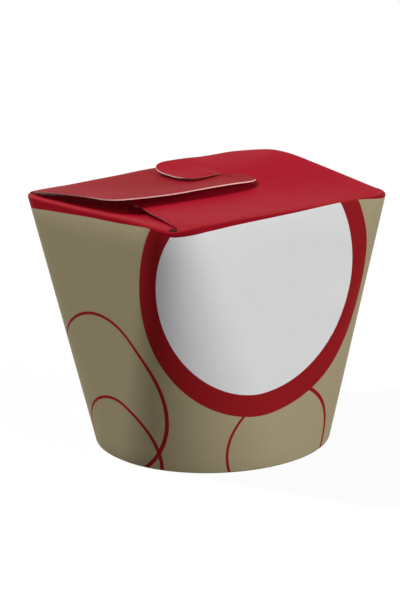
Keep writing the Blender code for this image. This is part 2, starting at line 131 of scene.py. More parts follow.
CREST_FADE = 0.35  # share of the depth in which a crease's own rise dies out
CORNER_END = 0.98  # the crease's corner curve is followed this far to its end

# lift of the closed flaps over the crease plane: (distance from the crease as a share of
# the top depth, ((share of half the top width, lift in metres), ...))
FRONT_LIFT = (
    (0.373, ((-0.8, 0.0005), (-0.36, 0.0005), (0.0, 0.0007), (0.27, 0.0014),
             (0.58, 0.004), (0.88, 0.0069))),
    (0.585, ((-0.8, 0.0006), (-0.36, 0.0016), (-0.07, 0.0037), (0.05, 0.0037), (0.26, 0.0043),
             (0.58, 0.0071), (0.88, 0.01))),
    (0.84, ((-0.1, 0.008), (0.1, 0.0081), (0.3, 0.0082), (0.45, 0.008), (0.58, 0.0082),
             (0.72, 0.009), (0.88, 0.0095))),
)
BACK_LIFT = (
    (0.105, ((-0.9, 0.0018), (-0.74, 0.002), (-0.5, 0.003), (-0.23, 0.0038),
             (0.0, 0.0046), (0.27, 0.0049), (0.58, 0.0044), (0.9, 0.0028))),
    (0.24, ((-0.9, 0.0034), (-0.74, 0.0035), (-0.5, 0.0037), (-0.23, 0.0041),
             (0.0, 0.0047), (0.27, 0.0052), (0.58, 0.0047), (0.9, 0.0034))),
    (0.415, ((-0.9, 0.0045), (-0.7, 0.0039), (-0.36, 0.0034), (-0.07, 0.0035), (0.05, 0.0036),
             (0.26, 0.0043), (0.58, 0.004), (0.9, 0.0036))),
    (0.59, ((-0.9, 0.0048), (-0.7, 0.0042), (-0.4, 0.0038), (-0.07, 0.0042), (0.1, 0.0043),
             (0.27, 0.0042), (0.58, 0.0043), (0.9, 0.004))),
)

# ---- how bare the fibres of a cut edge are: 1 pale, 0 stained by the ink
STAINED = 0.1
SIDE_BARE = 0.2
# hook: pale from this far behind the slit, over this run; tuck: this pale round this Y
FRONT_BARE = {"hook_from": 0.0015, "hook_run": 0.003, "tuck": 0.8, "tuck_y": -0.0015,
              "tuck_run": 0.003}
# near edge: "left" bare, and up to "gain" more from "gain_from" left of the middle on; behind
# it "away" bare, after "run", and on the right stained from "near" on
BACK_BARE = {"near": 0.002, "left": 0.72, "gain": 0.28, "gain_from": 0.75, "away": 0.25,
             "run": 0.02}

# ---- print: where the red of the lid ends below the crease, (distance round the crease
# from the middle of the front, depth), both in metres
RED_DEPTH = (
    (-0.196, 0.0036), (-0.16, 0.005), (-0.139, 0.0051), (-0.122, 0.004), (-0.098, 0.0029),
    (-0.079, 0.0028), (-0.0645, 0.0022), (-0.0595, 0.0019), (-0.0525, 0.0027), (-0.0406, 0.0031),
    (-0.0266, 0.0025), (0.0, 0.0016), (0.0213, 0.0008), (0.0319, 0.0009), (0.0434, 0.0019),
    (0.06, 0.0026), (0.133, 0.003), (0.196, 0.0036),
)
PRINT_SOFT = 0.00006  # half width of the soft rim of each ink
PRINT_END = 0.0005  # the wall's print runs this far past the crease
CREASE_RUB_AND_HIGHLIGHT_WIDTH = 0.0008  # half width of the line along a crease: partly rubbed ink, partly a painted highlight on the crest
CREASE_RUB_AND_HIGHLIGHT = (0.8, 0.3, 0.2, 1.0)  # and its colour
STREAKS = (18.0, 300.0, 1.0)  # streaks along a flap, per metre in X and in Y
LEAN_REACH = 0.012  # the wall's shading leans in over this much below the crease
LEAN_CURVE = -9.0  # and this fast
# thin rings on the khaki: (distance round the crease, height up the wall, radius)
THIN_RINGS = (
    (-0.106, 0.026, 0.031), (-0.08, 0.004, 0.021), (-0.036, 0.008, 0.023),
    (-0.158, 0.052, 0.027), (-0.176, 0.016, 0.022), (0.104, 0.03, 0.03),
    (0.078, 0.006, 0.018), (0.158, 0.058, 0.024), (0.172, 0.018, 0.025),
)

# ---- stage: each light's name, where it comes from, its width in degrees, its shadows
SUNS = (
    ("key", (-0.36, 0.46, 0.81), 0.8, True),
    ("front", (0.34, -0.97, 0.27), 30.0, True),
    ("left", (-0.64, -0.77, 0.03), 12.0, True),
    ("top", (0.0, 0.0, 1.0), 30.0, False),
)
FLOOR_RADIUS = 14.0
FLOOR_SHADE = 0.045  # the share of the seen floor that takes shadows
FLOOR_GLOW = 0.95  # and the share that stays white


# ---- settings that a user may change
def length(name, text, value):
    return FloatProperty(name=name, description=text, default=value, unit="LENGTH", precision=5)


def colour(name, text, value):
    return FloatVectorProperty(name=name, description=text, default=value, subtype="COLOR",
                               size=3, min=0.0, max=1.0)


def angle(name, text, degrees):
    return FloatProperty(name=name, description=text, default=math.radians(degrees),
                         subtype="ANGLE")


def level(name, text, value):
    return FloatProperty(name=name, description=text, default=value, subtype="FACTOR",
                         min=0.0, soft_max=1.0)


class PailSizes(bpy.types.PropertyGroup):
    wall_height: length("Wall height", "Foot to the lid creases", 0.095)
    top_width: length("Top width", "Across X at the creases", 0.1082)
    top_depth: length("Top depth", "Across Y at the creases", 0.0995)
    top_corner: length("Top corner", "Radius of the corners at the creases", 0.0144)
    base_width: length("Base width", "Across X at the foot", 0.0897)
    base_depth: length("Base depth", "Across Y at the foot", 0.0918)
    board: length("Board", "Thickness of the board", 0.00045)
    clear: length("Clearance", "Free play between two layers", 0.0003)
    glue_line: length("Glue line", "Between the two layers of the seam", 0.0002)
    seam_lap: length("Seam lap", "Width of the glued tab", 0.009)
    hem_height: length("Hem height", "Top of the rolled hem", 0.0048)
    skirt_foot: length("Skirt foot", "Lower edge of the floor's skirt", 0.0013)
    foot_flat: length("Foot flat", "Width of the pressed flat under the hem", 0.0006)


class PailLid(bpy.types.PropertyGroup):
    slit_y: level("Slit line", "Where the hooks cross, as a share of half the depth", 0.17)
    slit_x: level("Slit crossing", "Where they cross, as a share of half the width", 0.258)
    slit_overlap: length("Slit overlap", "How far each slit runs past the crossing", 0.0024)
    slit_width: length("Slit width", "Width of each slit", 0.0008)
    hook_step: length("Hook step", "Height between two hooked layers", 0.00105)
    hook_spread: length("Hook spread", "The layers close again this far away", 0.016)


class PailPrint(bpy.types.PropertyGroup):
    red: colour("Red", "Ink of the lid", (0.318, 0.005, 0.0155))
    wall_red: colour("Wall red", "Ink of the rings, a little warmer", (0.318, 0.0125, 0.0155))
    # the red of the back flap: darker and duller than the lid's red
    worn_red: colour("Worn red", "The same ink, dulled by rubbing", (0.245, 0.008, 0.012))
    khaki: colour("Khaki", "Ink of the wall", (0.437, 0.368, 0.224))
    white: colour("White", "Bare coated face inside the ring", (0.86, 0.852, 0.862))
    # painted shade: the inner face gets a darker, browner tone than the plain board it is, so that
    # the closed inside of the pail stays dark
    inside: colour("Inside", "Dull inner face of the blank", (0.58, 0.53, 0.46))
    board: colour("Board", "Uncoated board of the floor disc", (0.84, 0.81, 0.76))
    edge: colour("Cut edge", "Bare fibres at the cut edges", (0.98, 0.65, 0.6))
    ring_x: length("Ring X", "Ring centre, right of the middle of the front", -0.0131)
    ring_up: length("Ring height", "Ring centre, up the front from the foot", 0.0716)
    ring_radius: length("Ring radius", "Outer radius of the ring", 0.0503)
    disc_x: length("Disc X", "Disc centre, right of the middle of the front", -0.0133)
    disc_up: length("Disc height", "Disc centre, up the front from the foot", 0.0723)
    disc_radius: length("Disc radius", "Radius of the bare disc", 0.0425)
    line: length("Line", "Mean width of the thin lines", 0.0013)
    line_swell: length("Line swell", "How much thicker a line is on one side", 0.0003)


class PailStage(bpy.types.PropertyGroup):
    azimuth: angle("Azimuth", "Camera turned from straight in front", -37.34)
    elevation: angle("Elevation", "Camera above the horizon", 13.6)
    roll: angle("Roll", "Camera tilt about its own axis", -1.67)
    distance: length("Distance", "Camera to the point it looks at", 0.59)
    lens: FloatProperty(name="Lens", description="Focal length in millimetres",
                        default=92.15, subtype="DISTANCE_CAMERA")
    shift_right: length("Look right", "Point looked at, right of the pail's axis", -0.00346)
    shift_up: length("Look up", "Point looked at, above half the wall height", 0.00616)
    key: level("Key light", "Hard light from high at the back left", 0.95)
    front: level("Front light", "Wide soft light from the front, a little right", 0.6)
    left: level("Left light", "Level soft light from the front left", 0.24)
    top: level("Top light", "Weak light from above, also under the flaps", 0.145)
    sky: level("Sky", "Even light from all round", 0.05)
    floor: colour("Floor", "Its colour for the light it throws back", (0.08,) * 3)


# ---- curves and blends
def smooth(t):
    t = min(max(t, 0.0), 1.0)
    return t * t * (3 - 2 * t)


def spline(stations, x):
    """Smooth curve through (position, value) stations, straight beyond its ends."""
    xs, ys = zip(*stations)
    last = len(xs) - 1
    around = [(max(i - 1, 0), min(i + 1, last)) for i in range(last + 1)]
    slopes = [(ys[b] - ys[a]) / (xs[b] - xs[a]) for a, b in around]
    for end, beyond in ((0, x <= xs[0]), (last, x >= xs[last])):
        if beyond:
            return ys[end] + slopes[end] * (x - xs[end])
    k = max(i for i in range(last) if xs[i] <= x)
    h = xs[k + 1] - xs[k]
    t = (x - xs[k]) / h
    return ((2 * t ** 3 - 3 * t ** 2 + 1) * ys[k] + (t ** 3 - 2 * t ** 2 + t) * h * slopes[k]
            + (-2 * t ** 3 + 3 * t ** 2) * ys[k + 1] + (t ** 3 - t ** 2) * h * slopes[k + 1])


def bezier(p0, d0, p3, d3, steps):
    """Points after p0 on a soft curve that leaves along d0 and arrives along d3."""
    reach = (p3 - p0).length * HANDLE
    p1 = p0 + d0 * reach
    p2 = p3 - d3 * reach
    out = []
    for k in range(1, steps + 1):
        t = k / steps
        s = 1 - t
        out.append(p0 * s ** 3 + p1 * (3 * s * s * t) + p2 * (3 * s * t * t) + p3 * t ** 3)
    return out


def third_point(a, b, from_a, from_b, away):
    """Flat point at the given distances from a and b, on the side that is not away's."""
    base = b - a
    span = base.length
    along = (from_a ** 2 - from_b ** 2 + span ** 2) / (2 * span)
    off = math.sqrt(max(from_a ** 2 - along ** 2, 0.0))
    e = base / span
    square = Vector((-e.y, e.x))
    points = (a + e * along + square * off, a + e * along - square * off)
    return max(points, key=lambda p: (p - away).length)


# ---- the wall as a family of straight rulings
class Ruling:
    """One straight line of the developable wall, foot to crease, with its inward normal."""

    def __init__(self, foot, rim, crest, inward, tangent, reach):
        self.foot = foot
        self.rim = rim
        self.d = (rim - foot).normalized()
        self.m = -(tangent.cross(self.d)).normalized()
        self.plan_in = inward
        self.shift = 0.0
        self.reach = reach
        self.head = self.at_height(crest)
        self.span = self.head - foot
        self.flat_foot = Vector((0.0, 0.0))
        self.flat_head = Vector((0.0, 0.0))
        self.around = 0.0

    def at_height(self, z):
        return self.foot + self.d * ((z - self.foot.z) / self.d.z)

    def flat(self, along):
        """Where the point at this distance from the foot lies on the flat blank."""
        return self.flat_foot + (self.flat_head - self.flat_foot) * (along / self.span.length)


class Pail:
    """The folded pail's lengths, all worked out from the settings."""

    def __init__(self, sizes, lid):
        self.s = sizes
        self.lid = lid
        self.half_w = sizes.top_width / 2
        self.half_d = sizes.top_depth / 2
        self.base_corner = min(sizes.base_width, sizes.base_depth) / 2
        self.layer = sizes.board + sizes.clear
        self.hem_radius = (3 * sizes.board + 2 * sizes.clear) / 2
        self.seam_step = sizes.board + sizes.glue_line
        self.slit_y = lid.slit_y * self.half_d
        self.slit_x = lid.slit_x * self.half_w

    # heights of the closed lid
    def corner_mix(self, values, x, y):
        """Blend the four corner values."""
        u = min(max((x / self.half_w + 1) / 2, 0.0), 1.0)
        v = min(max((y / self.half_d + 1) / 2, 0.0), 1.0)
        fl, fr, br, bl = values
        return (fl * (1 - u) + fr * u) * (1 - v) + (bl * (1 - u) + br * u) * v

    def crest(self, side, x, y):
        """Height of one side's crease, at the point of it nearest to x, y."""
        stations = CREASES[side]
        share = y / self.half_d if side in (LEFT_SIDE, RIGHT_SIDE) else x / self.half_w
        share = min(max(share, stations[0][0]), stations[-1][0])
        return self.s.wall_height + spline(stations, share)

    def inset(self, u, half):
        """How far the rounded crease falls behind its straight part at cross position u."""
        corner = self.s.top_corner
        over = abs(u) - (half - corner)
        if over <= 0:
            return 0.0
        over = min(over, corner * CORNER_END)
        return corner - math.sqrt(corner * corner - over * over)

    def base_height(self, side, x, y, v):
        fade = max(0.0, 1 - v / (CREST_FADE * self.s.top_depth)) ** 2
        rise = self.crest(side, x, y) - self.s.wall_height
        return self.s.wall_height + rise * fade

    def rows_lift(self, rows, v, x):
        share = x / self.half_w
        stations = [(0.0, 0.0)]
        for row_v, row in rows:
            stations.append((row_v * self.s.top_depth, spline(row, share)))
        return spline(stations, max(v, 0.0))

    def hook_step(self, x, y, side):
        """Over and under of the hooked layers; side 1 for the back flap, -1 for the front."""
        share = smooth(0.5 + side * (x - self.slit_x) / (2 * self.lid.slit_overlap))
        near = 1 - smooth(abs(y - self.slit_y) / self.lid.hook_spread)
        over = -side if y > self.slit_y else side
        return self.lid.hook_step * share * near * over

    def front_height(self, x, y):
        v = y + self.half_d - self.inset(x, self.half_w)
        base = self.base_height(FRONT_SIDE, x, y, v)
        return base + self.rows_lift(FRONT_LIFT, v, x) + self.hook_step(x, y, -1)

    def back_height(self, x, y):
        v = self.half_d - y - self.inset(x, self.half_w)
        base = self.base_height(BACK_SIDE, x, y, v)
        return base + self.rows_lift(BACK_LIFT, v, x) + self.hook_step(x, y, 1)

    def side_height(self, x, y):
        v = max(self.half_w - abs(x) - self.inset(y, self.half_d), 0.0)
        base = self.base_height(LEFT_SIDE if x < 0 else RIGHT_SIDE, x, y, v)
        return base - SIDE_FLAP["sink"] * (1 - math.exp(-v / SIDE_FLAP["run"]))

    # how bare the flaps' cut edges are
    def front_bare(self, x, y):
        b = FRONT_BARE
        hook = smooth((y - self.slit_y - b["hook_from"]) / b["hook_run"])
        tuck = math.exp(-((y - b["tuck_y"]) / b["tuck_run"]) ** 2)
        return max(hook, b["tuck"] * tuck, STAINED)

    def back_bare(self, x, y):
        b = BACK_BARE
        near = BACK_FLAP["near_left"] * self.half_d
        if x > 0.0 and y > near + b["near"]:
            return STAINED
        along = b["left"] + b["gain"] * smooth(x / self.half_w + b["gain_from"])
        return b["away"] + (along - b["away"]) * (1 - smooth((y - near) / b["run"]))

    def side_bare(self, x, y):
        return SIDE_BARE

    # rulings
    def ruling(self, corner, degrees):
        sx, sy, start = CORNERS[corner]
        a = math.radians(degrees)
        c = math.cos(a)
        s = math.sin(a)
        foot, rim = (
            Vector((sx * (half_w - r) + r * c, sy * (half_d - r) + r * s, z))
            for half_w, half_d, r, z in (
                (self.s.base_width / 2, self.s.base_depth / 2, self.base_corner, 0.0),
                (self.half_w, self.half_d, self.s.top_corner, self.s.wall_height)))
        crest = self.crest(corner if degrees - start <= MIDDLE else (corner + 1) % 4, rim.x, rim.y)
        reach = self.corner_mix(CREASE_REACH, rim.x, rim.y)
        return Ruling(foot, rim, crest, Vector((-c, -s, 0.0)), Vector((-s, c, 0.0)), reach)

    def between(self, a, b, side, t):
        rim = a.rim.lerp(b.rim, t)
        reach = self.corner_mix(CREASE_REACH, rim.x, rim.y)
        out = Ruling(a.foot.lerp(b.foot, t), rim, self.crest(side, rim.x, rim.y), a.plan_in,
                     (b.rim - a.rim).normalized(), reach)
        out.shift = a.shift + (b.shift - a.shift) * t
        out.flat_foot = a.flat_foot.lerp(b.flat_foot, t)
        out.flat_head = a.flat_head.lerp(b.flat_head, t)
        out.around = a.around + (b.around - a.around) * t
        return out

    def columns(self):
        """Rulings anticlockwise from the seam, as (ruling, corner, step)."""
        half = CORNER_STEPS // 2
        turn = QUARTER / CORNER_STEPS
        whole = [((SEAM_CORNER + n) % 4, 0, CORNER_STEPS) for n in (1, 2, 3)]
        plan = [(SEAM_CORNER, half, CORNER_STEPS)] + whole + [(SEAM_CORNER, 0, half)]
        out = []
        for corner, first, last in plan:
            for k in range(first, last + 1):
                degrees = CORNERS[corner][2] + k * turn
                if corner == SEAM_CORNER and k == half:
                    degrees += SEAM_GAP if first == half else -SEAM_GAP
                ruling = self.ruling(corner, degrees)
                if corner == SEAM_CORNER and degrees <= MIDDLE:
                    ruling.shift = self.seam_step * smooth(degrees / SEAM_RAMP)
                out.append((ruling, corner, k))
        unroll(out)
        return out


def unroll(columns):
    """Lay the wall out flat from the front panel, whose foot point is the flat origin."""
    left = max(k for k, c in enumerate(columns) if c[1] == FRONT_LEFT)
    for k in (left, left + 1):
        ruling = columns[k][0]
        across = ruling.span.x
        up = math.sqrt(ruling.span.length_squared - across ** 2)
        ruling.flat_foot = Vector((ruling.foot.x, 0.0))
        ruling.flat_head = Vector((ruling.foot.x + across, up))
        ruling.around = ruling.head.x
    for start, step, stop in ((left, -1, -1), (left + 1, 1, len(columns))):
        other = columns[start - step][0].flat_head
        for k in range(start + step, stop, step):
            a = columns[k - step][0]
            b = columns[k][0]
            b.flat_head = third_point(a.flat_head, a.flat_foot, (b.head - a.head).length,
                                      (b.head - a.foot).length, other)
            foot_gap = (b.foot - a.foot).length
            b.flat_foot = a.flat_foot.copy()
            if foot_gap > 1e-7:
                b.flat_foot = third_point(a.flat_foot, b.flat_head, foot_gap,
                                          b.span.length, a.flat_head)
            b.around = a.around + step * (b.head - a.head).length
            other = a.flat_head


# ---- sheets of board
class Sheet:
    """Outer face of a board: points, faces, and each point's place on the flat blank."""
    # what each point carries: metres above the lower edge of the red, metres past the
    # crease, how far the back flap's red is darkened and dulled, how bare the fibres are where it
    # is cut
    FIELDS = ("above_red_edge", "past_crease", "worn", "bare")

    def __init__(self):
        self.points = []
        self.faces = []
        self.flat = []
        self.values = []

    def add(self, point, flat, red=1.0, crease=1.0, worn=0.0, bare=0.0):
        self.points.append(Vector(point))
        self.flat.append((flat[0], flat[1]))
        self.values.append((red, crease, worn, bare))
        return len(self.points) - 1

    def add_wall(self, ruling, along, point):
        """A point of the wall, along metres up its ruling from the foot."""
        past = along - ruling.span.length
        red = past + spline(RED_DEPTH, ruling.around)
        return self.add(point, ruling.flat(along), red, past)

    def quad(self, *points):
        """A face through the points, each of them once."""
        face = list(dict.fromkeys(points))
        if len(face) > 2:
            self.faces.append(face)

    def piece(self, name):
        mesh = bpy.data.meshes.new(name)
        mesh.from_pydata([tuple(p) for p in self.points], [], self.faces)
        plan = mesh.uv_layers.new(name="flat_blank")
        for loop in mesh.loops:
            plan.data[loop.index].uv = self.flat[loop.vertex_index]
        for k, field in enumerate(self.FIELDS):
            layer = mesh.attributes.new(field, "FLOAT", "POINT")
            layer.data.foreach_set("value", [values[k] for values in self.values])
        obj = bpy.data.objects.new(name, mesh)
        bpy.context.collection.objects.link(obj)
        return obj


def hem_profile(pail, ruling):
    """(distance along the board, point) from the hem's top, round the foot, to the wall."""
    radius = pail.hem_radius
    lean = (radius * (1 - ruling.m.z)) / ruling.d.z
    centre = ruling.foot + ruling.d * lean + ruling.m * radius
    inner = centre + ruling.m * radius
    top = inner + ruling.d * ((pail.s.hem_height - inner.z) / ruling.d.z)
    points = [top] + [top.lerp(inner, share) for share in HEM_ROWS] + [inner]
    for degrees in HEM_TURN:
        a = math.radians(degrees)
        c = math.cos(a)
        out = ruling.shift * (1 + c) / 2
        p = centre - ruling.m * (radius * c + out) - ruling.d * (radius * math.sin(a))
        if degrees in HEM_PRESSED:
            p = centre - ruling.m * (math.copysign(pail.s.foot_flat / 2, c) + out)
            p.z = 0.0
        points.append(p)
    along = lean
    out = [(along, points[-1])]
    for a, b in zip(points[-2::-1], points[:0:-1]):
        along -= (b - a).length
        out.append((along, a))
    return out[::-1]


def rounded(corners):
    """Plan polyline through (x, y, radius) corners; the first and last stay sharp."""
    out = [Vector(corners[0][:2])]
    for k in range(1, len(corners) - 1):
        p = Vector(corners[k][:2])
        r = corners[k][2]
        a = Vector(corners[k - 1][:2]) - p
        b = Vector(corners[k + 1][:2]) - p
        if r <= 0:
            out.append(p)
            continue
        half = a.angle(b) / 2
        cut = min(r / math.tan(half), a.length * MOST_CUT, b.length * MOST_CUT)
        r = cut * math.tan(half)
        a.normalize()
        b.normalize()
        centre = p + (a + b).normalized() * (r / math.sin(half))
        start = p + a * cut - centre
        sweep = start.angle_signed(p + b * cut - centre)
        steps = max(3, int(abs(sweep) * r / CURVE_STEP + abs(sweep) / CURVE_TURN))
        for j in range(steps + 1):
            turned = start.copy()
            turned.rotate(Matrix.Rotation(-sweep * j / steps, 2))
            out.append(centre + turned)
    out.append(Vector(corners[-1][:2]))
    return out


def resample(points, step):
    """Split long straights so that no edge is much longer than step."""
    out = [points[0]]
    for a, b in zip(points, points[1:]):
        n = max(1, round((b - a).length / step))
        for k in range(1, n + 1):
            out.append(a.lerp(b, k / n))
    return out


def inside(p, loop):
    """Whether the outline goes round the point."""
    hit = False
    for a, b in zip(loop, loop[1:] + loop[:1]):
        if (a.y > p.y) != (b.y > p.y):
            if p.x < (b.x - a.x) * (p.y - a.y) / (b.y - a.y) + a.x:
                hit = not hit
    return hit


def clear_of(p, loop, least):
    """Whether the point stays at least this far off the outline."""
    for a, b in zip(loop, loop[1:] + loop[:1]):
        ab = b - a
        t = min(max((p - a).dot(ab) / max(ab.length_squared, 1e-18), 0.0), 1.0)
        if (a + ab * t - p).length < least:
            return False
    return True


def fill_points(loop, crossing):
    """Staggered points inside a flap, closer together where the hooks cross."""
    out = []
    xs = [p.x for p in loop]
    ys = [p.y for p in loop]
    for step, near in ((FLAP_STEP, False), (FLAP_STEP / 2, True)):
        rise = step * ROW_RISE
        row = 0
        y = math.floor(min(ys) / rise) * rise
        while y < max(ys):
            x = math.floor(min(xs) / step) * step + (step / 2 if row % 2 else 0.0)
            while x < max(xs):
                p = Vector((x, y))
                close = (p - crossing).length < CROSSING_ZONE
                if close == near and inside(p, loop) and clear_of(p, loop, step * EDGE_CLEAR):
                    out.append(p)
                x += step
            y += rise
            row += 1
    return out


def fill_flap(sheet, root, corners, height, bare, crossing, worn):
    """Triangulate a flap between its crease end points and its cut outline."""
    root_plan = [sheet.points[i].to_2d() for i in root]
    first = root_plan[-1]
    last = root_plan[0]
    path = [(first.x, first.y, 0.0)] + corners + [(last.x, last.y, 0.0)]
    outline = resample(rounded(path), FLAP_STEP)[1:-1]
    loop = root_plan + outline
    coords = loop + fill_points(loop, crossing)
    n = len(loop)
    edges = [(k, (k + 1) % n) for k in range(n)]
    result = geometry.delaunay_2d_cdt(coords, edges, [], 1, 1e-9)
    verts, faces, origin = result[0], result[2], result[3]
    index = []
    for v, source in zip(verts, origin):
        known = [s for s in source if s < len(root)]
        if known:
            index.append(root[known[0]])
        else:
            index.append(sheet.add((v.x, v.y, height(v.x, v.y)), v, worn=worn,
                                   bare=bare(v.x, v.y)))
    for f in faces:
        a, b, c = (verts[k] for k in f[:3])
        ids = [index[k] for k in f]
        if (b - a).cross(c - a) < 0:
            ids.reverse()
        sheet.faces.append(ids)


def flap_outlines(pail):
    lower = pail.slit_y - pail.lid.slit_width / 2
    upper = pail.slit_y + pail.lid.slit_width / 2
    w = pail.half_w
    d = pail.half_d
    past = pail.slit_x + pail.lid.slit_overlap
    short = pail.slit_x - pail.lid.slit_overlap
    f = FRONT_FLAP
    front = [
        (f["side"] * w, f["far"] * d, f["far_r"]),
        (f["hook"] * w, f["far"] * d, f["hook_far_r"]),
        (f["hook"] * w, upper, f["hook_near_r"]),
        (past, upper, 0.0),
        (past, lower, 0.0),
        (f["tuck"] * w, lower, f["tuck_r"]),
        (f["waist_x"] * w, f["waist_y"] * d, 0.0),
    ]
    b = BACK_FLAP
    back = [
        (b["side"] * w, b["near_left"] * d, b["side_r"]),
        (b["tip"] * w, b["near_tip"] * d, b["tip_r"]),
        (pail.slit_x + b["heel"], lower, b["heel_r"]),
        (short, lower, 0.0),
        (short, upper, 0.0),
        (b["tuck"] * w, upper, b["tuck_r"]),
    ]
    s = SIDE_FLAP
    x = w - s["reach"]
    y = d - pail.s.top_corner * s["root"] - s["taper"]
    left = [(-x, -y, s["r"]), (-x, y, s["r"])]
    right = [(x, y, s["r"]), (x, -y, s["r"])]
    return {FRONT_SIDE: (front, pail.front_height, pail.front_bare),
            RIGHT_SIDE: (right, pail.side_height, pail.side_bare),
            BACK_SIDE: (back, pail.back_height, pail.back_bare),
            LEFT_SIDE: (left, pail.side_height, pail.side_bare)}


def stations(pail):
    """Every ruling round the blank with the side whose flap it carries, or None."""
    half = CORNER_STEPS // 2
    cols = pail.columns()
    out = []
    for k, (ruling, corner, step) in enumerate(cols):
        after = (corner + 1) % 4
        side = after if step >= half + NOTCH_STEPS else None
        if step <= half - NOTCH_STEPS:
            side = corner
        out.append((ruling, side))
        if k + 1 < len(cols) and cols[k + 1][1] != corner:
            for j in range(1, SIDE_STEPS):
                out.append((pail.between(ruling, cols[k + 1][0], after, j / SIDE_STEPS), after))
    return out


def fold_column(sheet, ruling, height, kept):
    """The soft crease above one ruling, from the wall over to its flap, or part of it."""
    reach = ruling.reach
    along = ruling.span.length - reach
    start = ruling.foot + ruling.d * along - ruling.m * ruling.shift
    end = ruling.head - ruling.m * ruling.shift + ruling.plan_in * reach
    ahead = end + ruling.plan_in * SLOPE_STEP
    if height:
        end.z = height(end.x, end.y)
        ahead.z = height(ahead.x, ahead.y)
    fold = bezier(start, ruling.d, end, (ahead - end).normalized(), FOLD_STEPS)[:kept]
    out = []
    last = start
    for p in fold:
        along += (p - last).length
        last = p
        out.append(sheet.add_wall(ruling, along, p))
    return out


def folded_blank(pail):
    sheet = Sheet()
    heights = flap_outlines(pail)
    stands = stations(pail)
    stacks = []
    for k, (ruling, side) in enumerate(stands):
        column = [sheet.add_wall(ruling, along, p) for along, p in hem_profile(pail, ruling)]
        hem_rows = len(column)
        foot = sheet.points[column[-1]]
        top = ruling.span.length - ruling.reach
        out = -ruling.m * ruling.shift
        low = (foot - out - ruling.foot).length
        for row in range(1, WALL_ROWS + 1):
            along = low + (top - low) * row / WALL_ROWS
            column.append(sheet.add_wall(ruling, along, ruling.foot + ruling.d * along + out))
        if side is not None:
            column += fold_column(sheet, ruling, heights[side][1], FOLD_STEPS)
        elif min(k, len(stands) - 1 - k) < NOTCH_STEPS:
            column += fold_column(sheet, ruling, None, SEAM_FOLD_STEPS)
        else:
            column += fold_column(sheet, ruling, None, FOLD_STEPS // 2)
        stacks.append(column)
    for a, b in zip(stacks, stacks[1:]):
        for j in range(min(len(a), len(b)) - 1):
            sheet.quad(a[j], b[j], b[j + 1], a[j + 1])
    crossing = Vector((pail.slit_x, pail.slit_y))
    for side in (FRONT_SIDE, RIGHT_SIDE, BACK_SIDE, LEFT_SIDE):
        corners, height, bare = heights[side]
        root = [stacks[k][-1] for k, s in enumerate(stands) if s[1] == side]
        worn = 1.0 if side == BACK_SIDE else 0.0
        fill_flap(sheet, root, corners, height, bare, crossing, worn)
    glued_tab(sheet, pail, stands[0][0], stacks[0][hem_rows - 1:hem_rows + WALL_ROWS])
    return sheet


def glued_tab(sheet, pail, seam, start):
    """The tab inside the outer end of the blank, with both its corners cut off."""
    first = sheet.points[start[0]].z
    last = sheet.points[start[-1]].z
    low = pail.s.skirt_foot
    high = pail.s.wall_height - TAB_TOP * seam.reach
    grid = [start]
    for j in range(1, TAB_STEPS + 1):
        cut = TAB_CUT * max(0.0, j / TAB_STEPS - 0.5) * 2
        column = []
        for index in start:
            share = (sheet.points[index].z - first) / (last - first)
            z = low + cut + (high - low - 2 * cut) * share
            f = z / pail.s.wall_height
            arc = math.radians(MIDDLE) * (pail.base_corner * (1 - f) + pail.s.top_corner * f)
            turn = min(MIDDLE * pail.s.seam_lap / arc, MIDDLE - TAB_STOP) * j / TAB_STEPS
            ruling = pail.ruling(SEAM_CORNER, MIDDLE + SEAM_GAP - turn)
            column.append(sheet.add(ruling.at_height(z), (0.0, 0.0), -1.0, -1.0))
        grid.append(column)
    for a, b in zip(grid, grid[1:]):
        for row in range(len(start) - 1):
            sheet.quad(b[row], a[row], a[row + 1], b[row + 1])


